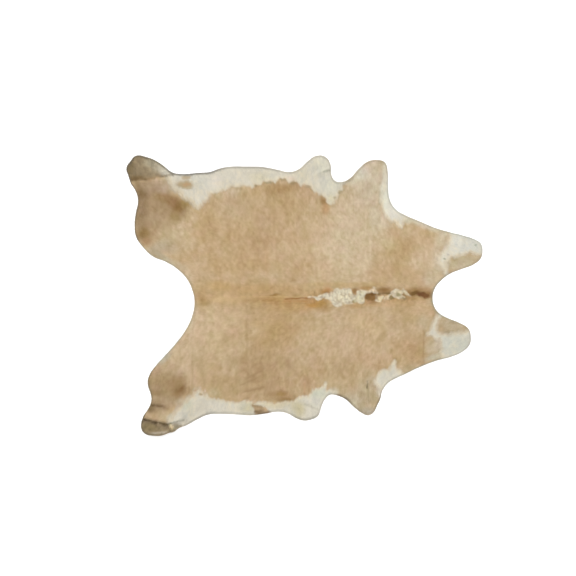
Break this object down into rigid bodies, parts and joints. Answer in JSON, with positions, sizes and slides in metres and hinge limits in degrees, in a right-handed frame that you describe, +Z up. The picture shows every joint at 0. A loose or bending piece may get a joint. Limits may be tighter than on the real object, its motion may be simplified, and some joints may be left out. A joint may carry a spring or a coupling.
{
  "type": "cowhide rug",
  "caption": "Whole cow skin laid flat as a floor rug, hair side up, in tan and white, with trimmed legs, flaps and neck.",
  "frame": {"origin": "middle of the rug's outline, on the floor it lies on", "axes": "+X along the back line towards the neck, +Y towards the animal's left side, +Z up out of the coat"},
  "size_m": [2.275, 1.7912, 0.0307],
  "materials": {
    "hide": "hair on, short lying coat, tan with white belly edges"
  },
  "bodies": {
    "root": {"hide": "hide"}
  },
  "joints": []
}
